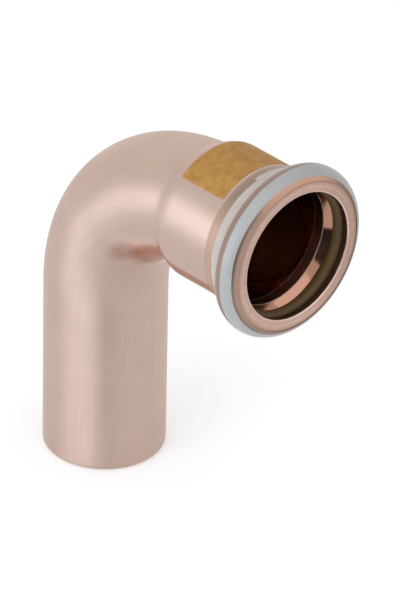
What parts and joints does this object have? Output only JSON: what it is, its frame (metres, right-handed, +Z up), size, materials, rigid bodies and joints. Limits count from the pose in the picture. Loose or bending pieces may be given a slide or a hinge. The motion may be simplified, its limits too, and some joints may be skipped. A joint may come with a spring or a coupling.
{
  "type": "press elbow fitting",
  "caption": "Right-angle copper press elbow for gas pipe: a plain end, a smooth bend and a beaded press socket that holds a rubber seal ring under an indicator film.",
  "frame": {"origin": "centre of the plain end's face", "axes": "+Z runs up the plain end towards the bend, +X runs out of the socket's mouth, and the part is symmetric about the XZ plane"},
  "size_m": [0.0586, 0.0314, 0.0754],
  "materials": {
    "copper": "satin drawn copper",
    "seal_rubber": "matte moulded",
    "film": "satin shrunk film",
    "ochre_paint": "matte print"
  },
  "bodies": {
    "root": {"elbow_body": "copper", "seal_ring": "seal_rubber", "indicator_film": "film", "colour_marking": "ochre_paint"}
  },
  "joints": []
}
